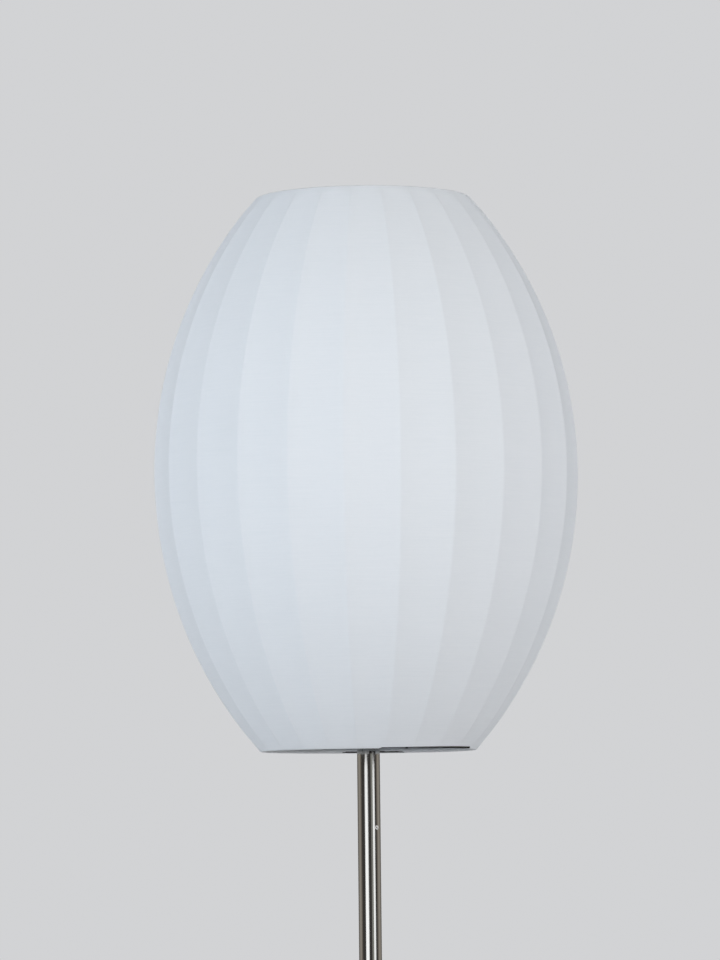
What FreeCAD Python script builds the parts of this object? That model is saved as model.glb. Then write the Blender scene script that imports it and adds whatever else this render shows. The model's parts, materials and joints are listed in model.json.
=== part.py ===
import FreeCAD, Part
import math
import os
import Sketcher
from FreeCAD import Vector, Rotation, Placement

# Floor lamp with a barrel shade of stretched knit over 24 wire ribs.
# Millimetres, +Z up. The origin is the centre of the underside of the base,
# on the floor; -Y is the front, +Y is the side where the cord comes in.

os.makedirs("parts", exist_ok=True)
doc = FreeCAD.newDocument("floor_lamp")

# ---------------------------------------------------------------- dimensions
DIMENSIONS = [
    # whole lamp
    ("lamp_height", 1500.0, "floor to the top rim of the shade"),
    ("shade_height", 385.0, "rim to rim"),
    ("shade_radius", 148.4, "outside of the fabric at the middle"),
    ("rim_radius", 76.2, "outside of the fabric at each rim"),
    ("skin_thickness", 0.8, "knit fabric"),
    ("arc_radius", 292.7, "vertical curve of the fabric over a rib"),
    ("rib_wire_radius", 1.0, "rib wire"),
    ("rib_half_angle", 41.02, "half of the arc that a rib spans, degrees"),
    ("rib_gap", 0.25, "room between a rib and the fabric shell"),
    ("ring_wire_radius", 1.1, "wire of the two rim rings"),
    ("ring_drop", 0.4, "how far a rim ring stands past the fabric edge"),
    ("washer_height", 1152.6, "underside of the spider washer"),
    ("washer_bore", 20.5, "hole that drops over the lampholder"),
    ("washer_radius", 30.0, "outer radius of the spider washer"),
    ("washer_thickness", 1.5, "spider washer"),
    ("arm_wire_radius", 1.5, "spider arm wire"),
    ("arm_start", 26.0, "radius where an arm begins under the washer"),
    # mast
    ("mast_radius", 8.0, "outside of the tube"),
    ("mast_wall", 1.0, "tube wall"),
    ("mast_foot", 20.0, "bottom end of the lowest tube"),
    ("joint_one", 385.0, "lower joint of the mast"),
    ("joint_two", 750.0, "upper joint of the mast"),
    ("mast_top", 1114.6, "top end of the highest tube"),
    ("insert_radius", 6.95, "threaded tube insert"),
    ("insert_length", 16.0, "threaded tube insert"),
    ("thread_bore", 5.05, "bore that takes a hollow stud"),
    ("stud_radius", 4.98, "hollow threaded stud, 10 mm"),
    ("stud_bore", 3.6, "wireway through a stud"),
    ("cap_shank", 64.6, "length of the mast cap inside the tube"),
    ("cap_head", 2.6, "height of the bevelled head of the mast cap"),
    ("grub_height", 1061.0, "grub screw that locks the mast cap"),
    # base
    ("base_radius", 130.0, "outside of the base cover"),
    ("base_height", 20.0, "top of the base cover"),
    ("cover_sheet", 1.0, "spun steel of the base cover"),
    ("cover_edge", 5.0, "rounding of the cover edge"),
    ("pad_radius", 126.0, "felt pad"),
    ("pad_thickness", 2.0, "felt pad"),
    ("weight_radius", 128.3, "cast weight"),
    ("recess_radius", 42.0, "wiring recess in the weight"),
    ("recess_height", 15.0, "ceiling of the wiring recess above the floor"),
    ("rebate_radius", 50.6, "seat of the wiring cover"),
    ("plate_radius", 50.0, "wiring cover"),
    ("plate_thickness", 1.5, "wiring cover"),
    ("channel_width", 12.0, "cord channel in the weight"),
    ("gland_height", 9.0, "axis of the cord gland above the floor"),
    ("gland_bore", 3.3, "bore of the cord gland"),
    ("gland_length", 20.0, "length of the cord gland"),
    ("collar_radius", 15.0, "foot collar"),
    ("collar_height", 12.0, "foot collar"),
    # lampholder and bulb
    ("holder_bottom", 1117.6, "underside of the lampholder cap"),
    ("holder_radius", 19.8, "lampholder, crest of the outer thread"),
    ("skirt_bottom", 1146.0, "lower edge of the lampholder skirt"),
    ("skirt_top", 1183.0, "upper edge of the lampholder skirt"),
    ("ring_bore", 20.1, "bore of the two shade rings"),
    ("ring_outer", 25.0, "outer radius of the two shade rings"),
    ("seat_height", 1148.3, "underside of the lower shade ring"),
    ("nut_height", 1154.4, "underside of the upper ring nut"),
    ("lead_radius", 2.5, "sheathed internal lead"),
    ("core_radius", 1.1, "one insulated core"),
    ("lead_bottom", 44.0, "lower end of the sheath"),
    ("lead_top", 1119.0, "upper end of the sheath"),
    ("bulb_radius", 17.8, "slim opal bulb"),
    ("bulb_top", 1275.0, "top of the bulb"),
    ("bulb_thread", 13.0, "crest of the bulb thread"),
    ("thread_pitch", 3.629, "bulb thread"),
]

sheet = doc.addObject("Spreadsheet::Sheet", "Dim")
sheet.Label = "Dim"
for row, (alias, value, note) in enumerate(DIMENSIONS, start=1):
    sheet.set("A%d" % row, alias)
    sheet.set("B%d" % row, "%g" % value)
    sheet.setAlias("B%d" % row, alias)
    sheet.set("C%d" % row, note)
doc.recompute()


class Size:
    """A length that knows its number and the sheet expression behind it."""

    def __init__(self, value, text):
        self.value = float(value)
        self.text = text

    def _join(self, other, sign, flip=False):
        other = size(other)
        a, b = (other, self) if flip else (self, other)
        value = {"+": a.value + b.value, "-": a.value - b.value,
                 "*": a.value * b.value,
                 "/": a.value / b.value if b.value else 0.0}[sign]
        return Size(value, "(%s %s %s)" % (a.text, sign, b.text))

    def __add__(self, other):
        return self._join(other, "+")

    def __radd__(self, other):
        return self._join(other, "+", True)

    def __sub__(self, other):
        return self._join(other, "-")

    def __rsub__(self, other):
        return self._join(other, "-", True)

    def __mul__(self, other):
        return self._join(other, "*")

    def __rmul__(self, other):
        return self._join(other, "*", True)

    def __truediv__(self, other):
        return self._join(other, "/")

    def __neg__(self):
        return Size(-self.value, "(0 - %s)" % self.text)


def size(x):
    if isinstance(x, Size):
        return x
    return Size(x, ("%.6g" % x) if x >= 0 else "(0 - %.6g)" % -x)


class Dims:
    def __getattr__(self, alias):
        return Size(float(sheet.get(alias)), "Dim." + alias)


D = Dims()
nodes = []


# ---------------------------------------------------------------- helpers
def part(obj, label):
    """Names a finished sub-part."""
    obj.Label = label
    nodes.append(obj)
    return obj


def bind(obj, prop, x):
    x = size(x)
    obj.setExpression(prop, x.text)


def lift(obj, x=0, y=0, z=0, rotation=None):
    """Places a sub-part, its position bound to the sheet."""
    if rotation is not None:
        obj.Placement = Placement(Vector(0, 0, 0), rotation)
    for axis, v in (("x", x), ("y", y), ("z", z)):
        if isinstance(v, Size) or v:
            bind(obj, "Placement.Base." + axis, v)
    return obj


def plane(body, role):
    for feature in body.Origin.OriginFeatures:
        if feature.Role == role:
            return feature
    raise RuntimeError("no " + role)


def new_body(name):
    body = doc.addObject("PartDesign::Body", name)
    body.AllowCompound = True
    return body


def new_sketch(body, name, role, offset=None):
    sketch = body.newObject("Sketcher::SketchObject", name)
    sketch.AttachmentSupport = [(plane(body, role), "")]
    sketch.MapMode = "FlatFace"
    if offset is not None:
        sketch.AttachmentOffset = offset
    return sketch


def fix_point(sketch, geo, pos, x, y):
    """Ties a sketch point to the origin by two bound distances."""
    for kind, axis, v in (("DistanceX", -2, size(x)), ("DistanceY", -1, size(y))):
        if abs(v.value) < 1e-9:
            sketch.addConstraint(Sketcher.Constraint("PointOnObject", geo, pos, axis))
        else:
            i = sketch.addConstraint(
                Sketcher.Constraint(kind, -1, 1, geo, pos, v.value))
            name = "%s_%d" % ("across" if kind == "DistanceX" else "up", i)
            sketch.renameConstraint(i, name)
            sketch.setExpression("Constraints." + name, v.text)


def arc_between(p, q, radius):
    """The short arc from p to q; radius > 0 turns left, < 0 turns right."""
    chord = q - p
    half = chord.Length / 2
    rise = math.sqrt(max(radius * radius - half * half, 0.0))
    side = Vector(-chord.y, chord.x, 0).normalize()
    centre = (p + q) * 0.5 + side * (rise if radius > 0 else -rise)
    a, b = (p, q) if radius > 0 else (q, p)
    circle = Part.Circle(centre, Vector(0, 0, 1), abs(radius))
    t0 = math.atan2(a.y - centre.y, a.x - centre.x)
    t1 = math.atan2(b.y - centre.y, b.x - centre.x)
    if t1 < t0:
        t1 += 2 * math.pi
    return Part.ArcOfCircle(circle, t0, t1)


def outline(sketch, points, closed=True):
    """Lines and arcs through points (x, y) or (x, y, r): r is the signed
    radius of the arc that arrives at the point."""
    count = len(points)
    corners = [Vector(size(p[0]).value, size(p[1]).value, 0) for p in points]
    ends = []
    for k in range(count if closed else count - 1):
        n = (k + 1) % count
        r = points[n][2] if len(points[n]) > 2 else None
        if r is None:
            geo = sketch.addGeometry(Part.LineSegment(corners[k], corners[n]), False)
            ends.append((geo, 1, 2))
        else:
            value = size(r).value
            geo = sketch.addGeometry(arc_between(corners[k], corners[n], value), False)
            ends.append((geo, 1, 2) if value > 0 else (geo, 2, 1))
            i = sketch.addConstraint(Sketcher.Constraint("Radius", geo, abs(value)))
            name = "curve_%d" % i
            sketch.renameConstraint(i, name)
            text = size(r).text if value > 0 else (-size(r)).text
            sketch.setExpression("Constraints." + name, text)
    for k in range(len(ends) if closed else len(ends) - 1):
        n = (k + 1) % len(ends)
        sketch.addConstraint(Sketcher.Constraint(
            "Coincident", ends[k][0], ends[k][2], ends[n][0], ends[n][1]))
    for k, (geo, first, last) in enumerate(ends):
        fix_point(sketch, geo, first, points[k][0], points[k][1])
    if not closed:
        geo, first, last = ends[-1]
        fix_point(sketch, geo, last, points[-1][0], points[-1][1])


def circle(sketch, x, y, radius):
    r = size(radius)
    geo = sketch.addGeometry(Part.Circle(
        Vector(size(x).value, size(y).value, 0), Vector(0, 0, 1), r.value), False)
    i = sketch.addConstraint(Sketcher.Constraint("Radius", geo, r.value))
    name = "round_%d" % i
    sketch.renameConstraint(i, name)
    sketch.setExpression("Constraints." + name, r.text)
    if abs(size(x).value) < 1e-9 and abs(size(y).value) < 1e-9:
        sketch.addConstraint(Sketcher.Constraint("Coincident", geo, 3, -1, 1))
    else:
        fix_point(sketch, geo, 3, x, y)


def turned(name, points, z=0):
    """A piece turned about the vertical axis from its (radius, height) outline."""
    body = new_body(name)
    sketch = new_sketch(body, name + "_profile", "XZ_Plane")
    outline(sketch, points)
    turn = body.newObject("PartDesign::Revolution", name + "_turn")
    turn.Profile = sketch
    turn.ReferenceAxis = (sketch, ["V_Axis"])
    turn.Angle = 360
    sketch.Visibility = False
    lift(body, z=z)
    doc.recompute()
    return body


def pocket(body, name, role, draw, depth=None, offset=None, away=True):
    """Cuts into the body along its sketch's own normal (away) or against it."""
    before = body.Shape.Volume
    sketch = new_sketch(body, name + "_outline", role, offset)
    draw(sketch)
    cut = body.newObject("PartDesign::Pocket", name)
    cut.Profile = sketch
    if depth is None:
        cut.Type = "ThroughAll"
    else:
        cut.Type = "Length"
        bind(cut, "Length", depth)
    cut.Reversed = away
    doc.recompute()
    body.Tip = cut
    doc.recompute()
    if body.Shape.Volume >= before - 1e-3:
        raise RuntimeError("%s cuts nothing" % name)
    return cut


def polar(body, feature, count):
    """Repeats a feature round the vertical axis."""
    before = body.Shape.Volume
    pattern = body.newObject("PartDesign::PolarPattern", feature.Name + "_ring")
    pattern.Originals = [feature]
    pattern.Axis = (plane(body, "Z_Axis"), [""])
    pattern.Angle = 360
    pattern.Occurrences = count
    body.Tip = pattern
    doc.recompute()
    if abs(body.Shape.Volume - before) < 1e-3:
        raise RuntimeError("%s repeats nothing" % feature.Name)
    return pattern


def round_edges(body, name, radius, wanted, kind="Fillet"):
    """Rounds or bevels the circular edges of the given (radius, height)."""
    base = body.Tip
    edges = []
    for i, edge in enumerate(base.Shape.Edges, start=1):
        curve = edge.Curve
        if not isinstance(curve, Part.Circle):
            continue
        for r, z in wanted:
            if abs(curve.Radius - size(r).value) < 0.02 and \
                    abs(curve.Center.z - size(z).value) < 0.02 and \
                    abs(abs(curve.Axis.z) - 1) < 1e-6:
                edges.append("Edge%d" % i)
                break
    if len(edges) < len(wanted):
        raise RuntimeError("%s: %d edges of %d" % (name, len(edges), len(wanted)))
    dress = body.newObject("PartDesign::" + kind, name)
    dress.Base = (base, edges)
    bind(dress, "Radius" if kind == "Fillet" else "Size", radius)
    body.Tip = dress
    doc.recompute()
    return dress


def cylinder(name, radius, height, x=0, y=0, z=0, rotation=None):
    obj = doc.addObject("Part::Cylinder", name)
    bind(obj, "Radius", radius)
    bind(obj, "Height", height)
    lift(obj, x, y, z, rotation)
    return obj


def block(name, length, width, height, x=0, y=0, z=0):
    obj = doc.addObject("Part::Box", name)
    bind(obj, "Length", length)
    bind(obj, "Width", width)
    bind(obj, "Height", height)
    lift(obj, x, y, z)
    return obj


def prism(name, across_flats, height, z=0, rotation=None):
    obj = doc.addObject("Part::Prism", name)
    obj.Polygon = 6
    bind(obj, "Circumradius", size(across_flats) / 1.7320508)
    bind(obj, "Height", height)
    lift(obj, z=z, rotation=rotation)
    return obj


def cut(name, base, *tools):
    doc.recompute()
    for k, tool in enumerate(tools):
        before = base.Shape.Volume
        obj = doc.addObject("Part::Cut", name if k == len(tools) - 1
                            else "%s_step_%d" % (name, k + 1))
        obj.Base, obj.Tool = base, tool
        doc.recompute()
        if obj.Shape.Volume >= before - 1e-4:
            raise RuntimeError("%s: tool %d cuts nothing" % (name, k + 1))
        base = obj
    return base


def fuse(name, *pieces):
    obj = doc.addObject("Part::MultiFuse", name)
    obj.Shapes = list(pieces)
    obj.Refine = True
    doc.recompute()
    return obj


def group(name, pieces):
    obj = doc.addObject("Part::Compound", name)
    obj.Links = list(pieces)
    doc.recompute()
    return obj


ALONG_X = Rotation(Vector(0, 1, 0), 90)
ALONG_Y = Rotation(Vector(1, 0, 0), -90)

# ================================================================ base
# Felt pad under the whole base.
part(cylinder("base_pad", D.pad_radius, D.pad_thickness), "base_pad")

# Cast weight: a disc with a wiring recess, the seat of the wiring cover and
# a straight channel from the rear edge for the cord.
weight_height = D.base_height - D.cover_sheet - D.pad_thickness
recess = D.recess_height - D.pad_thickness
weight = turned("base_weight", [
    (5.3, recess), (D.recess_radius, recess),
    (D.recess_radius, D.plate_thickness),
    (D.rebate_radius, D.plate_thickness), (D.rebate_radius, 0),
    (D.weight_radius, 0), (D.weight_radius, weight_height - 5.5),
    (D.weight_radius - 5.5, weight_height), (5.3, weight_height)],
    z=D.pad_thickness)
round_edges(weight, "weight_bottom_bevel", 1.0, [(D.weight_radius, 0)], "Chamfer")


def channel_outline(sketch):
    half = D.channel_width / 2
    outline(sketch, [(-half, D.recess_radius - 4), (half, D.recess_radius - 4),
                     (half, D.weight_radius + 5), (-half, D.weight_radius + 5)])


pocket(weight, "cord_channel", "XY_Plane", channel_outline, depth=recess)


def weight_holes(sketch):
    circle(sketch, -9.5, 32, 1.55)
    circle(sketch, 9.5, 32, 1.55)
    circle(sketch, -27, 0, 1.55)


pocket(weight, "web_holes", "XY_Plane", weight_holes, depth=recess + 3)


def rim_hole(sketch):
    circle(sketch, 0, -46.5, 1.55)


hole = pocket(weight, "plate_hole", "XY_Plane", rim_hole, depth=8.5)
polar(weight, hole, 3)
part(weight, "base_weight")

# Spun cover: a shallow pan with a rounded edge, open below.
cover = turned("base_cover_pan", [
    (5.3, D.base_height - D.cover_sheet - 0.8),
    (D.base_radius - D.cover_sheet, D.base_height - D.cover_sheet - 0.8),
    (D.base_radius - D.cover_sheet, 0), (D.base_radius, 0),
    (D.base_radius, D.base_height - 0.8), (5.3, D.base_height - 0.8)], z=0.8)
round_edges(cover, "cover_outer_edge", D.cover_edge,
            [(D.base_radius, D.base_height - 0.8)])
round_edges(cover, "cover_inner_edge", D.cover_edge - D.cover_sheet,
            [(D.base_radius - D.cover_sheet, D.base_height - D.cover_sheet - 0.8)])
gland_hole = cylinder("gland_hole", 4.6, 20, y=D.base_radius - 10,
                      z=D.gland_height, rotation=ALONG_Y)
part(cut("base_cover", cover, gland_hole), "base_cover")

# Wiring cover under the recess, with three countersunk screws.
plate = turned("wiring_plate", [
    (0, 0), (D.plate_radius, 0), (D.plate_radius, D.plate_thickness),
    (0, D.plate_thickness)], z=D.pad_thickness)


def plate_hole(sketch):
    circle(sketch, 0, -46.5, 1.7)


polar(plate, pocket(plate, "cover_hole", "XY_Plane", plate_hole), 3)
sinks, screws = [], []
for k in range(3):
    a = math.radians(-90 + 120 * k)
    across, along = 46.5 * math.cos(a), 46.5 * math.sin(a)
    sink = doc.addObject("Part::Cone", "countersink_%d" % (k + 1))
    bind(sink, "Radius1", 3.1)
    bind(sink, "Radius2", 1.7)
    bind(sink, "Height", 1.4)
    lift(sink, across, along, D.pad_thickness)
    sinks.append(sink)
    head = doc.addObject("Part::Cone", "plate_screw_head_%d" % (k + 1))
    bind(head, "Radius1", 2.9)
    bind(head, "Radius2", 1.5)
    bind(head, "Height", 1.4)
    lift(head, across, along, D.pad_thickness + 0.1)
    shank = cylinder("plate_screw_shank_%d" % (k + 1), 1.5, 8.2, across, along,
                     D.pad_thickness + 0.1)
    both = fuse("plate_screw_body_%d" % (k + 1), head, shank)
    slot = block("plate_screw_slot_%d" % (k + 1), 7, 0.7, 0.7, across - 3.5,
                 along - 0.35, D.pad_thickness)
    screws.append(cut("plate_screw_%d" % (k + 1), both, slot))
part(cut("wiring_cover", plate, *sinks), "wiring_cover")
part(group("wiring_cover_screws", screws), "wiring_cover_screws")

# Cord gland: a flanged bush in the rear wall of the cover.
gland = turned("gland_bush", [
    (D.gland_bore, 0), (5.4, 0), (5.4, 16.4), (4.4, 16.4), (4.4, 18),
    (6.4, 18), (6.4, 19.2), (5.6, D.gland_length), (D.gland_bore, D.gland_length)])
lift(gland, y=D.base_radius + 2 - D.gland_length, z=D.gland_height,
     rotation=ALONG_Y)
part(gland, "cord_gland")

# Clamp bar that holds the cord against the ceiling of the recess.
bar = block("clamp_bar_blank", 26, 7, 2.4, -13, 28.5, D.recess_height - 8.8)
bar_hole_a = cylinder("clamp_bar_hole_a", 1.65, 6, -9.5, 32, D.recess_height - 10)
bar_hole_b = cylinder("clamp_bar_hole_b", 1.65, 6, 9.5, 32, D.recess_height - 10)
part(cut("clamp_bar", bar, bar_hole_a, bar_hole_b), "clamp_bar")
screws = []
for k, x in enumerate((-9.5, 9.5), start=1):
    shank = cylinder("clamp_shank_%d" % k, 1.5, 11.4, x, 32, D.recess_height - 8.8)
    head = cylinder("clamp_head_%d" % k, 2.75, 1.7, x, 32, D.recess_height - 10.5)
    both = fuse("clamp_screw_body_%d" % k, shank, head)
    slot = block("clamp_slot_%d" % k, 7, 0.7, 0.8, x - 3.5, 31.65,
                 D.recess_height - 10.6)
    screws.append(cut("clamp_screw_%d" % k, both, slot))
part(group("clamp_screws", screws), "clamp_screws")

# Two-pole terminal block: plastic body, brass barrels, screws.
house = block("terminal_body", 16, 18, 9.8, -35, -9, D.recess_height - 9.9)
bores, wells = [], []
for y in (-4, 4):
    bores.append(cylinder("pole_bore_%+d" % y, 2.5, 20, -37, y,
                          D.recess_height - 5, ALONG_X))
    for x in (-31.5, -22.5):
        wells.append(cylinder("well_%+d_%d" % (y, -x), 1.5, 5, x, y,
                              D.recess_height - 10.5))
wells.append(cylinder("block_screw_hole", 1.7, 12, -27, 0, D.recess_height - 10.5))
part(cut("terminal_block", house, *(bores + wells)), "terminal_block")
barrels = []
for y in (-4, 4):
    rod = cylinder("barrel_rod_%+d" % y, 2.4, 14, -34, y, D.recess_height - 5,
                   ALONG_X)
    hollow = cylinder("barrel_bore_%+d" % y, 1.3, 16, -35, y,
                      D.recess_height - 5, ALONG_X)
    side = [cylinder("barrel_tap_%+d_%d" % (y, -x), 1.25, 3, x, y,
                     D.recess_height - 8) for x in (-31.5, -22.5)]
    barrels.append(cut("barrel_%+d" % y, rod, hollow, *side))
part(group("terminal_barrels", barrels), "terminal_barrels")
screws = []
for y in (-4, 4):
    for x in (-31.5, -22.5):
        screws.append(cylinder("clamping_screw_%+d_%d" % (y, -x), 1.2, 3.2, x, y,
                               D.recess_height - 9.6))
part(group("terminal_screws", screws), "terminal_screws")
shank = cylinder("block_shank", 1.5, 12.4, -27, 0, D.recess_height - 10)
head = cylinder("block_head", 2.4, 1.4, -27, 0, D.recess_height - 11.35)
part(fuse("terminal_block_screw", shank, head), "terminal_block_screw")

# Hollow stud, washer and nut that pull the mast down on the base.
stud_bottom = 8.7
part(turned("base_stud", [
    (D.stud_bore + 0.15, 0), (D.stud_radius, 0),
    (D.stud_radius, D.mast_foot + D.insert_length - stud_bottom),
    (D.stud_bore + 0.15, D.mast_foot + D.insert_length - stud_bottom)],
    z=stud_bottom), "base_stud")
part(turned("base_washer", [
    (5.3, 0), (14, 0), (14, 1.6), (5.3, 1.6)], z=D.recess_height - 1.6),
    "base_washer")
nut_blank = prism("lock_nut_blank", 15, 4.5, z=D.recess_height - 6.1)
nut_bore = cylinder("lock_nut_bore", D.thread_bore, 8, z=D.recess_height - 8)
part(cut("base_lock_nut", nut_blank, nut_bore), "base_lock_nut")

# Foot collar round the bottom of the mast.
collar = turned("foot_collar", [
    (D.mast_radius + 0.06, 0), (D.collar_radius, 0),
    (D.collar_radius, D.collar_height), (D.mast_radius + 0.06, D.collar_height)],
    z=D.base_height)
round_edges(collar, "collar_edge", 2.5, [(D.collar_radius, D.collar_height)])
part(collar, "foot_collar")


# ================================================================ mast
def tube(name, bottom, top):
    inner = D.mast_radius - D.mast_wall
    return turned(name, [(inner, 0), (D.mast_radius, 0),
                         (D.mast_radius, top - bottom), (inner, top - bottom)],
                  z=bottom)


part(tube("mast_lower", D.mast_foot, D.joint_one), "mast_lower")
part(tube("mast_middle", D.joint_one, D.joint_two), "mast_middle")
upper = tube("mast_upper_tube", D.joint_two, D.mast_top)
GRUB = Rotation(Vector(0, 0, 1), math.degrees(math.atan2(-0.737, 0.676))) \
    .multiply(ALONG_X)
grub_hole = cylinder("grub_hole", 1.6, 6, z=D.grub_height, rotation=GRUB)
grub_hole.Placement.Base = Vector(0, 0, 0)
bind(grub_hole, "Placement.Base.x", size(0.676) * 5)
bind(grub_hole, "Placement.Base.y", -(size(0.737) * 5))
bind(grub_hole, "Placement.Base.z", D.grub_height)
part(cut("mast_upper", upper, grub_hole), "mast_upper")

inserts = []
for k, z in enumerate((D.mast_foot, D.joint_one - D.insert_length, D.joint_one,
                       D.joint_two - D.insert_length, D.joint_two), start=1):
    inserts.append(turned("mast_insert_%d" % k, [
        (D.thread_bore, 0), (D.insert_radius, 0),
        (D.insert_radius, D.insert_length), (D.thread_bore, D.insert_length)], z=z))
part(group("mast_inserts", inserts), "mast_inserts")
studs = []
for k, z in enumerate((D.joint_one - 14, D.joint_two - 14), start=1):
    studs.append(turned("mast_stud_%d" % k, [
        (D.stud_bore, 0), (D.stud_radius, 0), (D.stud_radius, 28),
        (D.stud_bore, 28)], z=z))
part(group("mast_studs", studs), "mast_studs")

# Cap in the top of the mast: a long plug with a bevelled head.
top_cap = turned("mast_cap_turned", [
    (D.thread_bore, 0), (D.insert_radius, 0), (D.insert_radius, D.cap_shank),
    (D.mast_radius, D.cap_shank), (D.mast_radius, D.cap_shank + 0.3),
    (D.mast_radius - 1.1, D.cap_shank + D.cap_head),
    (D.thread_bore, D.cap_shank + D.cap_head)], z=D.mast_top - D.cap_shank)
grub_tap = cylinder("grub_tap", 1.55, 6, z=D.grub_height, rotation=GRUB)
bind(grub_tap, "Placement.Base.x", size(0.676) * 4)
bind(grub_tap, "Placement.Base.y", -(size(0.737) * 4))
bind(grub_tap, "Placement.Base.z", D.grub_height)
part(cut("mast_top_cap", top_cap, grub_tap), "mast_top_cap")

grub_rod = cylinder("grub_rod", 1.5, 2.75, rotation=GRUB)
bind(grub_rod, "Placement.Base.x", size(0.676) * 5.2)
bind(grub_rod, "Placement.Base.y", -(size(0.737) * 5.2))
bind(grub_rod, "Placement.Base.z", D.grub_height)
grub_key = doc.addObject("Part::Prism", "grub_key")
grub_key.Polygon = 6
bind(grub_key, "Circumradius", 0.87)
bind(grub_key, "Height", 2)
grub_key.Placement = Placement(Vector(0, 0, 0), GRUB)
bind(grub_key, "Placement.Base.x", size(0.676) * 6.6)
bind(grub_key, "Placement.Base.y", -(size(0.737) * 6.6))
bind(grub_key, "Placement.Base.z", D.grub_height)
part(cut("mast_grub_screw", grub_rod, grub_key), "mast_grub_screw")

# ================================================================ lampholder
part(turned("holder_stud", [
    (D.stud_bore, 0), (D.stud_radius, 0), (D.stud_radius, 25), (D.stud_bore, 25)],
    z=D.mast_top - 14.6), "holder_stud")

# Domed cap.
cap_height = D.skirt_bottom - D.holder_bottom
part(turned("holder_cap", [
    (D.thread_bore, 0), (8.6, 0), (9.6, 1.0, 1.0), (9.6, 3.4),
    (D.holder_radius, 14.5, 12.5), (D.holder_radius, cap_height),
    (D.holder_radius - 2, cap_height), (D.holder_radius - 2, 15),
    (9.0, 6.4, -10.6), (D.thread_bore, 6.4)], z=D.holder_bottom), "holder_cap")

# Skirt with a flange, an outer thread and an inward lip.
skirt = [(17.2, 0), (22, 0), (22, 2.0), (D.holder_radius - 0.9, 2.0)]
z = 3.0
while z < 34.0:
    skirt += [(D.holder_radius - 0.9, z), (D.holder_radius, z + 0.5),
              (D.holder_radius, z + 1.0), (D.holder_radius - 0.9, z + 1.5)]
    z += 2.5
skirt_height = D.skirt_top - D.skirt_bottom
skirt += [(D.holder_radius - 0.9, skirt_height), (14.3, skirt_height),
          (14.3, skirt_height - 3), (17.2, skirt_height - 6)]
part(turned("holder_skirt", skirt, z=D.skirt_bottom), "holder_skirt")

# Insulating core, screw shell, centre contact, terminals and their screws.
part(turned("holder_core", [
    (0, 0), (16.8, 0), (16.8, 6.6), (12.6, 6.6), (12.6, 10), (0, 10)],
    z=D.skirt_bottom - 3), "holder_core")
shell = [(13.25, 0)]
count = 6
for k in range(count):
    z0 = size(0.6) + D.thread_pitch * k
    shell += [(13.85, z0), (13.85, z0 + 0.9), (14.15, z0 + 1.8),
              (14.15, z0 + 2.7)]
top = size(0.6) + D.thread_pitch * count
shell += [(13.85, top), (13.25, top)]
part(turned("screw_shell", shell, z=D.skirt_bottom + 4), "screw_shell")
leaf = block("contact_leaf", 14, 5, 0.4, -9, -2.5, D.skirt_bottom + 7.05)
button = cylinder("contact_button", 2.6, 1.3, z=D.skirt_bottom + 7.4)
part(fuse("centre_contact", leaf, button), "centre_contact")
clamps, screws = [], []
for side in (-1, 1):
    body_block = block("holder_clamp_block_%+d" % side, 5, 6, 5.4,
                       9.5 * side - 2.5, -3, D.skirt_bottom - 8.45)
    entry = cylinder("holder_clamp_bore_%+d" % side, 1.25, 4.4, 9.5 * side, 0,
                     D.skirt_bottom - 9)
    turn = ALONG_X if side > 0 else Rotation(Vector(0, 1, 0), -90)
    tap = cylinder("holder_clamp_tap_%+d" % side, 1.15, 3, 10.6 * side, 0,
                   D.skirt_bottom - 6.2, turn)
    clamps.append(cut("holder_clamp_%+d" % side, body_block, entry, tap))
    shank = cylinder("holder_screw_shank_%+d" % side, 1.1, 2.6, 10.8 * side, 0,
                     D.skirt_bottom - 6.2, turn)
    head = cylinder("holder_screw_head_%+d" % side, 2.1, 1.4, 12.2 * side, 0,
                    D.skirt_bottom - 6.2, turn)
    both = fuse("holder_screw_body_%+d" % side, shank, head)
    slot = block("holder_screw_slot_%+d" % side, 1.2, 5, 0.6,
                 13.0 * side if side > 0 else -14.2, -2.5, D.skirt_bottom - 6.5)
    screws.append(cut("holder_screw_%+d" % side, both, slot))
part(group("holder_terminals", clamps), "holder_terminals")
part(group("holder_terminal_screws", screws), "holder_terminal_screws")


# ================================================================ wiring
# The sheathed lead stands straight up the mast; its two cores come out of
# both ends. A core is straight runs joined by tangent arcs.
def rounded(points, radii):
    """Edges through the points, each inner corner rounded to its radius."""
    edges, here = [], points[0]
    length = 0.0
    for k in range(1, len(points) - 1):
        a = (points[k] - points[k - 1]).normalize()
        b = (points[k + 1] - points[k]).normalize()
        turn = a.getAngle(b)
        back = radii[k - 1] * math.tan(turn / 2)
        start, end = points[k] - a * back, points[k] + b * back
        centre = start + (b - a * a.dot(b)).normalize() * radii[k - 1]
        middle = centre + ((points[k] - centre).normalize()) * radii[k - 1]
        edges.append(Part.LineSegment(here, start).toShape())
        edges.append(Part.Arc(start, middle, end).toShape())
        length += (start - here).Length + radii[k - 1] * turn
        here = end
    edges.append(Part.LineSegment(here, points[-1]).toShape())
    length += (points[-1] - here).Length
    return Part.Wire(edges), length


def swept(points, radii, radius):
    wire, length = rounded(points, radii)
    ring = Part.Wire([Part.makeCircle(radius, points[0],
                                      (points[1] - points[0]).normalize())])
    solid = wire.makePipeShell([ring], True, True)
    if isinstance(solid, Part.Shell):
        solid = Part.Solid(solid)
    area = math.pi * radius * radius
    if abs(solid.Volume - area * length) > 0.01 * area * length:
        raise RuntimeError("core volume %.2f, not %.2f" % (solid.Volume, area * length))
    return solid, length


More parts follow.
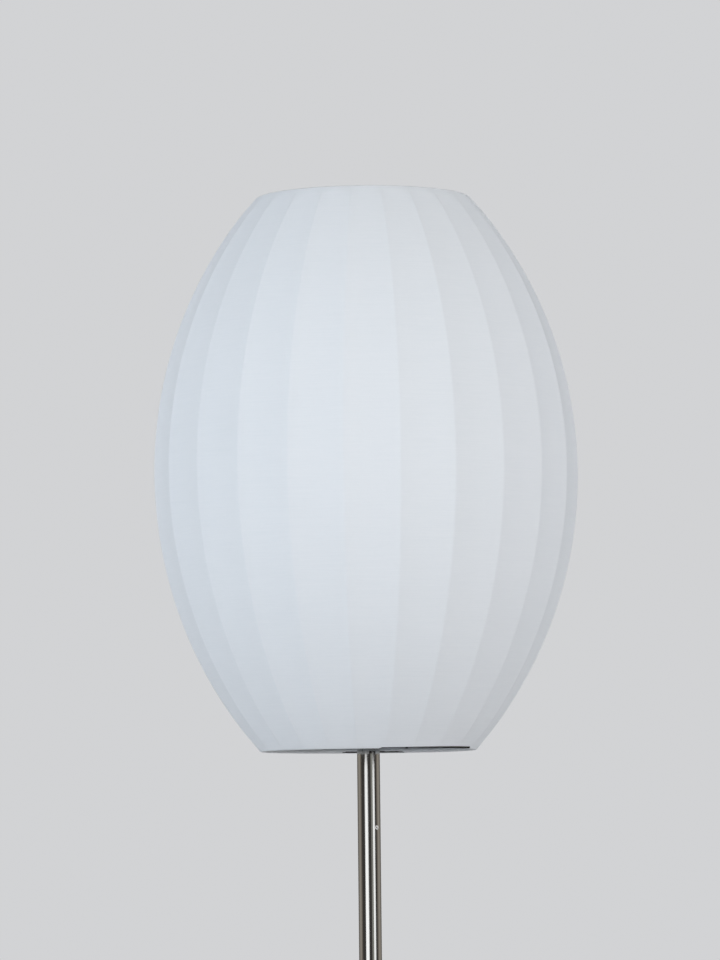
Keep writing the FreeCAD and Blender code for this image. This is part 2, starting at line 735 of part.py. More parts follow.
part(cylinder("internal_lead", D.lead_radius, D.lead_top - D.lead_bottom,
              z=D.lead_bottom), "internal_lead")
core = D.core_radius.value
low, high = D.lead_bottom.value, D.lead_top.value
ceiling, skirt_z = D.recess_height.value, D.skirt_bottom.value
for name, side in (("live_wire", 1), ("neutral_wire", -1)):
    below, below_length = swept(
        [Vector(0.6, 1.2 * side, low), Vector(0.6, 1.2 * side, ceiling - 9.6),
         Vector(-11.5, 3.0 * side, ceiling - 8.8), Vector(-17.5, 4.0 * side, ceiling - 5),
         Vector(-25, 4.0 * side, ceiling - 5)], [7.0, 6.0, 6.0], core)
    above, above_length = swept(
        [Vector(1.2 * side, 0, high), Vector(1.2 * side, 0, skirt_z - 18.5),
         Vector(9.5 * side, 0, skirt_z - 11.5), Vector(9.5 * side, 0, skirt_z - 5.5)],
        [8.0, 8.0], core)
    pair = doc.addObject("Part::Feature", name)
    pair.Shape = Part.makeCompound([below, above])
    pair.Placement = Placement(Vector(0, 0, 0), Rotation())
    part(pair, name)
    print("%s: %.1f mm below the sheath, %.1f mm above it, bends of 6 to 8 mm"
          % (name, below_length, above_length))

# ================================================================ shade
middle = D.lamp_height - D.shade_height / 2
half_height = D.shade_height / 2
offset = D.arc_radius - D.shade_radius

# Fabric: a barrel shell between two concentric arcs, open at both rims.
inner_arc = D.arc_radius - D.skin_thickness


def radius_at(arc, height):
    """Radius on an arc at a height above or below the middle."""
    a, e = size(arc), size(height)
    value = math.sqrt(a.value ** 2 - e.value ** 2) - offset.value
    return Size(value, "(sqrt(%s^2 - %s^2) - %s)" % (a.text, e.text, offset.text))


skin_out = radius_at(D.arc_radius, half_height)
skin_in = radius_at(inner_arc, half_height)
skin = new_body("shade_skin")
skin_sketch = new_sketch(skin, "shade_skin_profile", "XZ_Plane")
outline(skin_sketch, [
    (skin_in, -half_height, -inner_arc), (skin_out, -half_height),
    (skin_out, half_height, D.arc_radius), (skin_in, half_height)])
skin_turn = skin.newObject("PartDesign::Revolution", "shade_skin_turn")
skin_turn.Profile = skin_sketch
skin_turn.ReferenceAxis = (skin_sketch, ["V_Axis"])
skin_turn.Angle = 360
lift(skin, z=middle)
doc.recompute()
part(skin, "shade_skin")

# Rim rings: wire tori just inside the fabric, standing a little past its edge.
ring_arc = inner_arc - D.ring_wire_radius
ring_rise = half_height + D.ring_drop - D.ring_wire_radius
ring_centre = radius_at(ring_arc, ring_rise)
for name, sign in (("bottom_ring", -1), ("top_ring", 1)):
    ring = doc.addObject("Part::Torus", name)
    bind(ring, "Radius1", ring_centre)
    bind(ring, "Radius2", D.ring_wire_radius)
    lift(ring, z=middle + ring_rise * sign)
    part(ring, name)

# 24 ribs: wire arcs just inside the fabric, from ring to ring.
ribs = []
for k in range(24):
    azimuth = -90 - 5.7 + 15 * k
    rib = doc.addObject("Part::Torus", "rib_%02d" % (k + 1))
    bind(rib, "Radius1", inner_arc - D.rib_wire_radius - D.rib_gap)
    bind(rib, "Radius2", D.rib_wire_radius)
    bind(rib, "Angle3", D.rib_half_angle * 2)
    turn = Rotation(Vector(0, 0, 1), azimuth)
    turn = turn.multiply(Rotation(Vector(1, 0, 0), 90))
    turn = turn.multiply(Rotation(Vector(0, 0, 1), -D.rib_half_angle.value))
    rib.Placement = Placement(Vector(0, 0, 0), turn)
    a = math.radians(azimuth)
    bind(rib, "Placement.Base.x", -(offset * size(math.cos(a))))
    bind(rib, "Placement.Base.y", -(offset * size(math.sin(a))))
    bind(rib, "Placement.Base.z", middle)
    ribs.append(rib)
part(group("shade_ribs", ribs), "shade_ribs")

# Spider washer and its three arms down to the bottom ring.
part(turned("spider_washer", [
    (D.washer_bore, 0), (D.washer_radius, 0), (D.washer_radius, D.washer_thickness),
    (D.washer_bore, D.washer_thickness)], z=D.washer_height), "spider_washer")

arm_level = D.washer_height - D.arm_wire_radius - 0.02
ring_level = middle - ring_rise
arm_bend = D.washer_radius + 4
run = Vector(ring_centre.value - arm_bend.value, ring_level.value - arm_level.value, 0)
reach = (run.Length - D.ring_wire_radius.value - 0.06) / run.Length
slope = math.atan2(-run.y, run.x)
bend_radius = 7.0
back = bend_radius * math.tan(slope / 2)
arm_path = [
    (D.arm_start, 0),
    (arm_bend - back, 0),
    (arm_bend + back * math.cos(slope), -back * math.sin(slope), -bend_radius),
    (arm_bend + (ring_centre - arm_bend) * reach, (ring_level - arm_level) * reach)]
arms = new_body("spider_arms")
path = new_sketch(arms, "arm_path", "XZ_Plane")
outline(path, arm_path, closed=False)
section = new_sketch(arms, "arm_section", "YZ_Plane",
                     Placement(Vector(0, 0, D.arm_start.value), Rotation()))
section.setExpression("AttachmentOffset.Base.z", D.arm_start.text)
circle(section, 0, 0, D.arm_wire_radius)
doc.recompute()
pipe = arms.newObject("PartDesign::AdditivePipe", "arm_pipe")
pipe.Profile = section
pipe.Spine = (path, ["Edge1", "Edge2", "Edge3"])
doc.recompute()
arms.Tip = pipe
polar(arms, pipe, 3)
lift(arms, z=arm_level, rotation=Rotation(Vector(0, 0, 1), 90))
part(arms, "spider_arms")


# Two shade rings that clamp the washer: the lower one is its seat.
def shade_ring(name, height, z):
    ring = turned(name, [
        (D.ring_bore, 0), (D.ring_outer - 1, 0), (D.ring_outer, 1.0),
        (D.ring_outer, height - 1), (D.ring_outer - 1, height),
        (D.ring_bore, height)], z=z)

    def notch(sketch):
        circle(sketch, 0, D.ring_outer + 1.1, 2.0)

    polar(ring, pocket(ring, name + "_notch", "XY_Plane", notch), 18)
    return ring


part(shade_ring("lower_shade_ring", size(4.0), D.seat_height), "lower_shade_ring")
part(shade_ring("upper_ring_nut", size(6.0), D.nut_height), "upper_ring_nut")

# ================================================================ bulb
tip_level = D.skirt_bottom + 9.0
part(turned("bulb_tip", [
    (0, 0), (2.4, 0), (4.6, 1.0), (4.6, 1.6), (0, 1.6)], z=tip_level), "bulb_tip")
part(turned("bulb_insulator", [
    (0, 0), (5.2, 0), (10.4, 3.0), (10.4, 4.6), (0, 4.6)],
    z=tip_level + 1.9), "bulb_insulator")
thread = [(10.6, 0), (11.2, 0)]
for k in range(5):
    z0 = size(1.2) + D.thread_pitch * k
    thread += [(D.bulb_thread - 1.1, z0), (D.bulb_thread, z0 + 1.2),
               (D.bulb_thread, z0 + 1.7), (D.bulb_thread - 1.1, z0 + 2.9)]
thread_top = size(22.4)
thread += [(D.bulb_thread - 0.4, thread_top - 1.6), (D.bulb_thread - 0.4, thread_top),
           (10.6, thread_top)]
part(turned("bulb_thread_cap", thread, z=tip_level + 5.0), "bulb_thread_cap")
housing_level = tip_level + 27.5
housing_height = 21.5
part(turned("bulb_housing", [
    (0, 0), (13.4, 0), (13.4, 2.2), (D.bulb_radius, 11, 12.5),
    (D.bulb_radius, housing_height), (D.bulb_radius - 1.6, housing_height),
    (D.bulb_radius - 1.6, 12), (11.6, 3.4, -12.5), (0, 3.4)],
    z=housing_level), "bulb_housing")
glass = D.bulb_top - (housing_level + housing_height)
part(turned("bulb_diffuser", [
    (D.bulb_radius - 1.2, 0), (D.bulb_radius, 0), (D.bulb_radius, glass - 12.8),
    (5, glass, 12.8), (0, glass), (0, glass - 1.2), (5, glass - 1.2),
    (D.bulb_radius - 1.2, glass - 12.8, -11.6)],
    z=housing_level + housing_height), "bulb_diffuser")
board = cylinder("led_disc", D.bulb_radius - 2, 1.2, z=housing_level + housing_height - 2)
chips = [board]
for k in range(10):
    a = 2 * math.pi * k / 10
    chips.append(block("led_chip_%d" % (k + 1), 3, 3, 0.8,
                       12 * math.cos(a) - 1.5, 12 * math.sin(a) - 1.5,
                       housing_level + housing_height - 0.9))
part(fuse("led_board", *chips), "led_board")

# ================================================================ write
doc.recompute()
for obj in doc.Objects:
    state = [s for s in obj.State if s in ("Invalid", "Error")]
    if state:
        raise RuntimeError("%s is %s" % (obj.Label, state))
labels = [obj.Label for obj in nodes]
if len(set(labels)) != len(labels) or len(labels) > 60:
    raise RuntimeError("labels are not all different, or too many")
for obj in nodes:
    shape = obj.Shape
    if shape.isNull() or not shape.isValid() or not shape.Solids:
        raise RuntimeError(obj.Label + " has no valid solid")
for obj in nodes:
    shape = obj.Shape.copy()
    shape.exportStep("parts/%s.step" % obj.Label)
    box = shape.BoundBox
    print("%-24s %2d solids %12.1f mm3  z %8.2f..%8.2f  r %7.2f" % (
        obj.Label, len(shape.Solids), shape.Volume, box.ZMin, box.ZMax,
        max(box.XMax, -box.XMin)))
print(len(nodes), "sub-parts")
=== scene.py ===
import json
import math
import bmesh
import bpy
import numpy as np
from mathutils import Vector, Matrix, Euler


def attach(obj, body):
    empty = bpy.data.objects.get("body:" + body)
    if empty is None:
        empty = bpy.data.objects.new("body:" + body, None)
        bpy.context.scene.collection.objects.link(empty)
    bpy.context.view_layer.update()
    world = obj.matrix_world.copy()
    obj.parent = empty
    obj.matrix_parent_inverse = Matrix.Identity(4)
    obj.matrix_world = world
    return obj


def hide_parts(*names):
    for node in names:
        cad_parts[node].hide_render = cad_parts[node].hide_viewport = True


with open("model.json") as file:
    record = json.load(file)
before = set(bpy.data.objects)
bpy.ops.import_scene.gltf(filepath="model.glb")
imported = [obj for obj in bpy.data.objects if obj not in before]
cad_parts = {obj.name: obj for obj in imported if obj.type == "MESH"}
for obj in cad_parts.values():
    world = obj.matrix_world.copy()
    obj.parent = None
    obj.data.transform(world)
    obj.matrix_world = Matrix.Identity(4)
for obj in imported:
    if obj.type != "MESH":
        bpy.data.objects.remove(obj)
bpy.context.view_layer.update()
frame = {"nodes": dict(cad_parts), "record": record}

NODES = frame["nodes"]
MM = 0.001

# ------------------------------------------------------------- camera
# The camera stands 3.66 m in front of the mast, a little under the bottom rim
# of the shade, and looks up at it through a long lens.
CAM_DISTANCE = 3.658
CAM_HEIGHT = 1.0322
LENS = 196.9
cam_data = bpy.data.cameras.new("camera")
cam_data.lens = LENS
cam_data.sensor_width = 36.0
cam_data.sensor_fit = "AUTO"
cam_data.clip_start = 0.05
cam_data.clip_end = 200.0
cam = bpy.data.objects.new("camera", cam_data)
bpy.context.scene.collection.objects.link(cam)
PITCH, YAW, ROLL = 4.239, 0.0605, -0.60
look = (Matrix.Rotation(math.radians(YAW), 4, "Z")
        @ Matrix.Rotation(math.radians(90 + PITCH), 4, "X")
        @ Matrix.Rotation(math.radians(ROLL), 4, "Z"))
cam.matrix_world = Matrix.Translation((0.0, -CAM_DISTANCE, CAM_HEIGHT)) @ look
bpy.context.scene.camera = cam

view = bpy.context.scene.view_settings
view.view_transform = "Standard"
view.look = "None"
view.exposure = 0.0
view.gamma = 1.0


# ------------------------------------------------------------- node helpers
class Tree:
    """Short ways to build a node tree."""

    def __init__(self, name):
        self.mat = bpy.data.materials.new(name)
        self.mat.use_nodes = True
        self.tree = self.mat.node_tree
        self.tree.nodes.clear()
        self.out = self.add("ShaderNodeOutputMaterial")
        self.bsdf = self.add("ShaderNodeBsdfPrincipled")
        self.link(self.bsdf.outputs[0], self.out.inputs["Surface"])
        self.coord = self.add("ShaderNodeTexCoord").outputs["Object"]

    def add(self, kind):
        return self.tree.nodes.new(kind)

    def link(self, a, b):
        self.tree.links.new(a, b)

    def scaled(self, sx, sy, sz, source=None):
        n = self.add("ShaderNodeMapping")
        n.vector_type = "POINT"
        n.inputs["Scale"].default_value = (sx, sy, sz)
        self.link(source or self.coord, n.inputs["Vector"])
        return n.outputs[0]

    def noise(self, vector, scale=1.0, detail=3.0, rough=0.5, distortion=0.0):
        n = self.add("ShaderNodeTexNoise")
        n.inputs["Scale"].default_value = scale
        n.inputs["Detail"].default_value = detail
        n.inputs["Roughness"].default_value = rough
        n.inputs["Distortion"].default_value = distortion
        self.link(vector, n.inputs["Vector"])
        return n.outputs["Fac"]

    def math(self, op, a, b=None, c=None, clamp=False):
        n = self.add("ShaderNodeMath")
        n.operation = op
        n.use_clamp = clamp
        for i, v in enumerate((a, b, c)):
            if v is None:
                continue
            if isinstance(v, (int, float)):
                n.inputs[i].default_value = v
            else:
                self.link(v, n.inputs[i])
        return n.outputs[0]

    def spread(self, x, lo, hi, to_lo, to_hi):
        n = self.add("ShaderNodeMapRange")
        for i, v in enumerate((lo, hi, to_lo, to_hi), start=1):
            n.inputs[i].default_value = v
        self.link(x, n.inputs[0])
        return n.outputs[0]

    def ramp(self, x, stops):
        n = self.add("ShaderNodeValToRGB")
        while len(n.color_ramp.elements) < len(stops):
            n.color_ramp.elements.new(0.5)
        for e, (pos, colour) in zip(n.color_ramp.elements, stops):
            e.position = pos
            e.color = tuple(colour) + (1.0,) * (4 - len(colour))
        self.link(x, n.inputs[0])
        return n.outputs[0]

    def mix(self, fac, a, b, blend="MIX"):
        n = self.add("ShaderNodeMix")
        n.data_type = "RGBA"
        n.blend_type = blend
        if isinstance(fac, (int, float)):
            n.inputs[0].default_value = fac
        else:
            self.link(fac, n.inputs[0])
        for i, v in ((6, a), (7, b)):
            if isinstance(v, tuple):
                n.inputs[i].default_value = tuple(v) + (1.0,) * (4 - len(v))
            else:
                self.link(v, n.inputs[i])
        return n.outputs[2]

    def bump(self, height, distance, strength=1.0, normal=None):
        n = self.add("ShaderNodeBump")
        n.inputs["Strength"].default_value = strength
        n.inputs["Distance"].default_value = distance
        self.link(height, n.inputs["Height"])
        if normal is not None:
            self.link(normal, n.inputs["Normal"])
        self.link(n.outputs[0], self.bsdf.inputs["Normal"])
        return n.outputs[0]

    def set(self, **sockets):
        for name, v in sockets.items():
            socket = self.bsdf.inputs[name.replace("_", " ")]
            if isinstance(v, (int, float)):
                socket.default_value = v
            elif isinstance(v, tuple):
                socket.default_value = tuple(v) + (1.0,) * (4 - len(v))
            else:
                self.link(v, socket)
        return self

    def radius(self):
        """Distance from the vertical axis, and the height."""
        split = self.add("ShaderNodeSeparateXYZ")
        self.link(self.coord, split.inputs[0])
        x, y, z = split.outputs
        r = self.math("SQRT", self.math("ADD", self.math("MULTIPLY", x, x),
                                        self.math("MULTIPLY", y, y)))
        return r, z

    def turn(self):
        """Direction round the vertical axis, -pi to pi, as one angle."""
        split = self.add("ShaderNodeSeparateXYZ")
        self.link(self.coord, split.inputs[0])
        return self.math("ARCTAN2", split.outputs[1], split.outputs[0])

    def vector(self, x, y, z):
        n = self.add("ShaderNodeCombineXYZ")
        for i, v in enumerate((x, y, z)):
            if isinstance(v, (int, float)):
                n.inputs[i].default_value = v
            else:
                self.link(v, n.inputs[i])
        return n.outputs[0]


# ------------------------------------------------------------- materials
def make_knit():
    """Fine white stretch knit: horizontal courses, uneven yarn, soft sheen."""
    t = Tree("knit_fabric")
    r, z = t.radius()
    # long thin streaks along the courses, short yarn slubs, slow unevenness
    streak = t.noise(t.scaled(34, 34, 1400), 1.0, 4.0, 0.62)
    streak_fine = t.noise(t.scaled(110, 110, 3600), 1.0, 2.0, 0.5)
    slub = t.noise(t.scaled(420, 420, 900), 1.0, 3.0, 0.6, 0.6)
    cloud = t.noise(t.scaled(9, 9, 14), 1.0, 3.0, 0.55)
    tone = t.math("ADD", t.math("MULTIPLY", streak, 0.42),
                  t.math("ADD", t.math("MULTIPLY", streak_fine, 0.18),
                         t.math("ADD", t.math("MULTIPLY", slub, 0.18),
                                t.math("MULTIPLY", cloud, 0.22))))
    colour = t.ramp(tone, [(0.28, (0.770, 0.790, 0.808)),
                           (0.50, (0.800, 0.815, 0.830)),
                           (0.74, (0.828, 0.839, 0.851))])
    t.set(Base_Color=colour, Roughness=0.92, Specular_IOR_Level=0.18,
          Sheen_Weight=0.12, Sheen_Roughness=0.6)
    t.bsdf.inputs["Sheen Tint"].default_value = (1, 1, 1, 1)
    # loops of the knit: courses every 0.55 mm
    loops = t.math("SINE", t.math("MULTIPLY", z, 2 * math.pi / 0.00055))
    height = t.math("ADD", t.math("MULTIPLY", streak, 0.6),
                    t.math("ADD", t.math("MULTIPLY", slub, 0.5),
                           t.math("MULTIPLY", loops, 0.10)))
    t.bump(height, 0.00014, 0.3)
    through = t.add("ShaderNodeBsdfTranslucent")
    t.link(colour, through.inputs["Color"])
    both = t.add("ShaderNodeMixShader")
    both.inputs[0].default_value = 0.28
    t.link(t.bsdf.outputs[0], both.inputs[1])
    t.link(through.outputs[0], both.inputs[2])
    t.link(both.outputs[0], t.out.inputs["Surface"])
    return t.mat


def make_nickel(name, along=True):
    """Polished nickel plate with faint brushing, along the tube or round it."""
    t = Tree(name)
    if along:
        fine = t.noise(t.scaled(2600, 2600, 7), 1.0, 3.0, 0.6)
    else:
        r, z = t.radius()
        fine = t.noise(t.vector(t.math("MULTIPLY", r, 2600.0),
                                t.math("MULTIPLY", z, 2600.0), 0.0), 1.0, 3.0, 0.6)
    smudge = t.noise(t.scaled(30, 30, 18), 1.0, 4.0, 0.6)
    colour = t.ramp(t.math("ADD", t.math("MULTIPLY", fine, 0.5),
                           t.math("MULTIPLY", smudge, 0.5)),
                    [(0.30, (0.64, 0.628, 0.605)), (0.55, (0.69, 0.68, 0.66)),
                     (0.75, (0.73, 0.722, 0.705))])
    rough = t.math("ADD", t.spread(fine, 0.3, 0.7, 0.035, 0.075),
                   t.spread(smudge, 0.35, 0.75, 0.0, 0.03))
    t.set(Base_Color=colour, Metallic=1.0, Roughness=rough)
    t.bump(fine, 0.00001, 0.25)
    return t.mat


def make_plain(name, base, rough, scale=60.0, vary=0.10, metallic=0.0, bump=0.00003,
               bump_scale=900.0, coat=0.0, spec=0.5):
    """A moulded, cast, painted or plated surface: slow colour drift, fine grain."""
    t = Tree(name)
    drift = t.noise(t.scaled(scale, scale, scale), 1.0, 4.0, 0.6)
    grain = t.noise(t.scaled(bump_scale, bump_scale, bump_scale), 1.0, 2.0, 0.5)
    dark = tuple(c * (1 - vary) for c in base)
    light = tuple(min(1.0, c * (1 + vary) + 0.004) for c in base)
    colour = t.ramp(t.math("ADD", t.math("MULTIPLY", drift, 0.7),
                           t.math("MULTIPLY", grain, 0.3)),
                    [(0.3, dark), (0.5, base), (0.7, light)])
    t.set(Base_Color=colour, Metallic=metallic, Specular_IOR_Level=spec,
          Roughness=t.spread(grain, 0.3, 0.7, max(rough - 0.07, 0.02), rough + 0.07))
    if coat:
        t.set(Coat_Weight=coat, Coat_Roughness=0.08)
    t.bump(t.math("ADD", grain, t.math("MULTIPLY", drift, 0.5)), bump, 0.5)
    return t.mat


def make_felt():
    t = Tree("felt")
    fibre = t.noise(t.scaled(700, 700, 700), 1.0, 5.0, 0.7, 0.8)
    patch = t.noise(t.scaled(40, 40, 40), 1.0, 3.0)
    colour = t.ramp(t.math("ADD", t.math("MULTIPLY", fibre, 0.7),
                           t.math("MULTIPLY", patch, 0.3)),
                    [(0.3, (0.035, 0.035, 0.037)), (0.55, (0.075, 0.075, 0.079)),
                     (0.75, (0.15, 0.15, 0.157))])
    t.set(Base_Color=colour, Roughness=0.97, Sheen_Weight=0.3)
    t.bump(fibre, 0.0003, 0.7)
    return t.mat


def make_opal():
    t = Tree("opal")
    cloud = t.noise(t.scaled(35, 35, 35), 1.0, 2.0)
    colour = t.ramp(cloud, [(0.35, (0.80, 0.80, 0.78)), (0.7, (0.87, 0.87, 0.85))])
    t.set(Base_Color=colour, Roughness=t.spread(cloud, 0.3, 0.7, 0.22, 0.32),
          Specular_IOR_Level=0.5)
    through = t.add("ShaderNodeBsdfTranslucent")
    t.link(colour, through.inputs["Color"])
    both = t.add("ShaderNodeMixShader")
    both.inputs[0].default_value = 0.3
    t.link(t.bsdf.outputs[0], both.inputs[1])
    t.link(through.outputs[0], both.inputs[2])
    t.link(both.outputs[0], t.out.inputs["Surface"])
    return t.mat


MAT = {
    "knit_fabric": make_knit(),
    "nickel": make_nickel("nickel_drawn", True),
    "nickel_spun": make_nickel("nickel_spun", False),
    "felt": make_felt(),
    "cast_iron": make_plain("cast_iron", (0.10, 0.10, 0.105), 0.75, 80, 0.3, 0.0,
                            0.0004, 260),
    "zinc_steel": make_plain("zinc_steel", (0.60, 0.61, 0.63), 0.32, 150, 0.15, 1.0),
    "zinc_flake": make_plain("zinc_flake", (0.74, 0.72, 0.69), 0.5, 300, 0.1, 0.25,
                             0.00003, 2200),
    "brass": make_plain("brass", (0.76, 0.58, 0.28), 0.28, 150, 0.12, 1.0),
    "black_plastic": make_plain("black_plastic", (0.022, 0.022, 0.024), 0.42, 60,
                                0.25, 0.0, 0.00004, 1400),
    "grey_plastic": make_plain("grey_plastic", (0.50, 0.50, 0.48), 0.5),
    "ceramic": make_plain("ceramic", (0.82, 0.80, 0.75), 0.6, 60, 0.06),
    "lead_sheath": make_plain("lead_sheath", (0.78, 0.78, 0.77), 0.5, 40, 0.05),
    "live_insulation": make_plain("live_insulation", (0.24, 0.10, 0.045), 0.45),
    "neutral_insulation": make_plain("neutral_insulation", (0.05, 0.16, 0.50), 0.45),
    "dark_wire": make_plain("dark_wire", (0.015, 0.0095, 0.0080), 0.6, 120, 0.35, 0.0,
                            0.00004, 1800, 0.0, 0.08),
    "opal": make_opal(),
    "white_plastic": make_plain("white_plastic", (0.80, 0.80, 0.79), 0.3, 50, 0.012,
                                0.0, 0.00001, 700, 0.2),
    "bulb_metal": make_plain("bulb_metal", (0.70, 0.70, 0.71), 0.25, 200, 0.1, 1.0),
    "bulb_black": make_plain("bulb_black", (0.015, 0.015, 0.018), 0.12, 60, 0.2),
    "board": make_plain("board", (0.78, 0.78, 0.74), 0.5, 90, 0.08),
}

SLOT_OF = {s["node"]: s["material_slot"] for s in frame["record"]["subparts"]}
for node, obj in NODES.items():
    obj.data.materials.clear()
    obj.data.materials.append(MAT[SLOT_OF[node]])
    for poly in obj.data.polygons:
        poly.material_index = 0


# ------------------------------------------------------------- mesh helpers
def finish_mesh(name, verts, faces, mat, body, node=None, sharp=38.0):
    mesh = bpy.data.meshes.new(name)
    mesh.from_pydata([tuple(v) for v in np.asarray(verts) * MM], [], faces)
    mesh.materials.append(mat)
    bm = bmesh.new()
    bm.from_mesh(mesh)
    bmesh.ops.remove_doubles(bm, verts=bm.verts, dist=1e-7)
    bmesh.ops.recalc_face_normals(bm, faces=bm.faces)
    for f in bm.faces:
        f.smooth = True
    if sharp is not None:
        for e in bm.edges:
            if len(e.link_faces) == 2 and e.calc_face_angle(0.0) > math.radians(sharp):
                e.smooth = False
    bm.to_mesh(mesh)
    bm.free()
    obj = bpy.data.objects.new(name, mesh)
    bpy.context.scene.collection.objects.link(obj)
    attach(obj, body)
    if node:
        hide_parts(*([node] if isinstance(node, str) else node))
    return obj


def rounded(points, radius=0.3, steps=4, closed=True):
    """Rounds every corner of a polygon outline; a point may carry its own radius."""
    out = []
    n = len(points)
    for i, p in enumerate(points):
        r = p[2] if len(p) > 2 else radius
        here = np.array(p[:2], float)
        if not closed and i in (0, n - 1):
            out.append(here)
            continue
        a = np.array(points[i - 1][:2], float) - here
        b = np.array(points[(i + 1) % n][:2], float) - here
        la, lb = np.linalg.norm(a), np.linalg.norm(b)
        if r <= 0 or la < 1e-9 or lb < 1e-9:
            out.append(here)
            continue
        a, b = a / la, b / lb
        angle = math.acos(max(-1.0, min(1.0, float(a @ b))))
        if angle > math.radians(176) or angle < math.radians(4):
            out.append(here)
            continue
        back = min(r / math.tan(angle / 2), 0.45 * la, 0.45 * lb)
        r = back * math.tan(angle / 2)
        middle = here + (a + b) / np.linalg.norm(a + b) * (r / math.sin(angle / 2))
        p0, p1 = here + a * back, here + b * back
        t0 = math.atan2(*(p0 - middle)[::-1])
        t1 = math.atan2(*(p1 - middle)[::-1])
        while t1 - t0 > math.pi:
            t1 -= 2 * math.pi
        while t1 - t0 < -math.pi:
            t1 += 2 * math.pi
        for k in range(steps + 1):
            t = t0 + (t1 - t0) * k / steps
            out.append(middle + r * np.array([math.cos(t), math.sin(t)]))
    return out


def lathe(name, outline, z, mat, body, node=None, count=96, sharp=38.0,
          shape=None):
    """Turns a closed (radius, height) outline about the vertical axis. Points on
    the axis become poles. shape(r, z, angle) may change the radius."""
    ring = [np.array(p[:2], float) for p in outline]
    verts, rows = [], []
    for p in ring:
        if p[0] < 1e-6:
            rows.append([len(verts)] * count)
            verts.append((0.0, 0.0, p[1] + z))
            continue
        row = []
        for k in range(count):
            a = 2 * math.pi * k / count
            r = p[0] if shape is None else shape(p[0], p[1], a)
            row.append(len(verts))
            verts.append((r * math.cos(a), r * math.sin(a), p[1] + z))
        rows.append(row)
    faces = []
    for i in range(len(rows)):
        a, b = rows[i], rows[(i + 1) % len(rows)]
        if len(set(a)) == 1 and len(set(b)) == 1:
            continue
        for k in range(count):
            q = [a[k], a[(k + 1) % count], b[(k + 1) % count], b[k]]
            face = []
            for v in q:
                if v not in face:
                    face.append(v)
            if len(face) > 2:
                faces.append(face)
    return finish_mesh(name, verts, faces, mat, body, node, sharp)


def tubes(name, paths, radius, mat, body, node=None, count=12, caps=True):
    """Round wires along paths of points (mm), as one mesh of separate solids."""
    verts, faces = [], []
    for path in paths:
        pts = [np.array(p, float) for p in path]
        base = len(verts)
        prev = None
        for i, p in enumerate(pts):
            if i == 0:
                d = pts[1] - p
            elif i == len(pts) - 1:
                d = p - pts[-2]
            else:
                d = pts[i + 1] - pts[i - 1]
            d = d / np.linalg.norm(d)
            if prev is None:
                ref = np.array([0.0, 0.0, 1.0])
                if abs(d @ ref) > 0.9:
                    ref = np.array([1.0, 0.0, 0.0])
                u = np.cross(ref, d)
            else:
                u = prev - d * (prev @ d)
            u = u / np.linalg.norm(u)
            prev = u
            w = np.cross(d, u)
            for k in range(count):
                a = 2 * math.pi * k / count
                verts.append(p + radius * (math.cos(a) * u + math.sin(a) * w))
        for i in range(len(pts) - 1):
            for k in range(count):
                a = base + i * count + k
                b = base + i * count + (k + 1) % count
                faces.append([a, b, b + count, a + count])
        if caps:
            faces.append([base + k for k in range(count)][::-1])
            last = base + (len(pts) - 1) * count
            faces.append([last + k for k in range(count)])
    return finish_mesh(name, verts, faces, mat, body, node, 50.0)


# ------------------------------------------------------------- the shade
MID = 1307.5
HALF = 192.5
ARC = 292.7
SHADE_R = 148.4
OFFSET = ARC - SHADE_R
WIRE = 1.1
RING_ARC = ARC - 0.8 - WIRE
RING_RISE = HALF + 0.4 - WIRE
RING_R = math.sqrt(RING_ARC ** 2 - RING_RISE ** 2) - OFFSET
CONTACT = math.asin(RING_RISE / RING_ARC)      # where the fabric meets the ring
RIBS = 24
RIB_TURN = -95.7                               # direction of one rib, degrees
CLOTH = 0.45                                   # thickness of the knit
WRAP = CLOTH + WIRE                            # outside of the fabric round a ring


def smooth(x, a, b):
    t = min(1.0, max(0.0, (x - a) / (b - a)))
    return t * t * (3 - 2 * t)


def hem_end(front):
    """Length of fabric past its contact with the bottom ring, in mm, by the
    direction round the shade (0 = front, + = right). At the front right the hem
    stops short and shows the wire."""
    f = (front + 180.0) % 360.0 - 180.0
    full = 5.5 + 0.10 * math.sin(math.radians(f * 5)) + 0.08 * math.sin(
        math.radians(f * 11 + 40))
    short = -0.45 - 1.10 * smooth(f, 6.0, 62.0)
    bare = smooth(f, 4.5, 6.5) * (1 - smooth(f, 67.5, 70.0))
    return full + (short - full) * bare


def slit(front, angle):
    """Whether the hem gapes here and shows the wire: at the far middle, on the
    underside of the ring. The angle round the wire is in degrees, 0 outwards."""
    g = (front % 360.0) - 180.0
    reach = abs(g + 2.2) / 18.4
    return reach < 1.0 and 78.0 < angle < 178.0 - 30.0 * reach ** 8


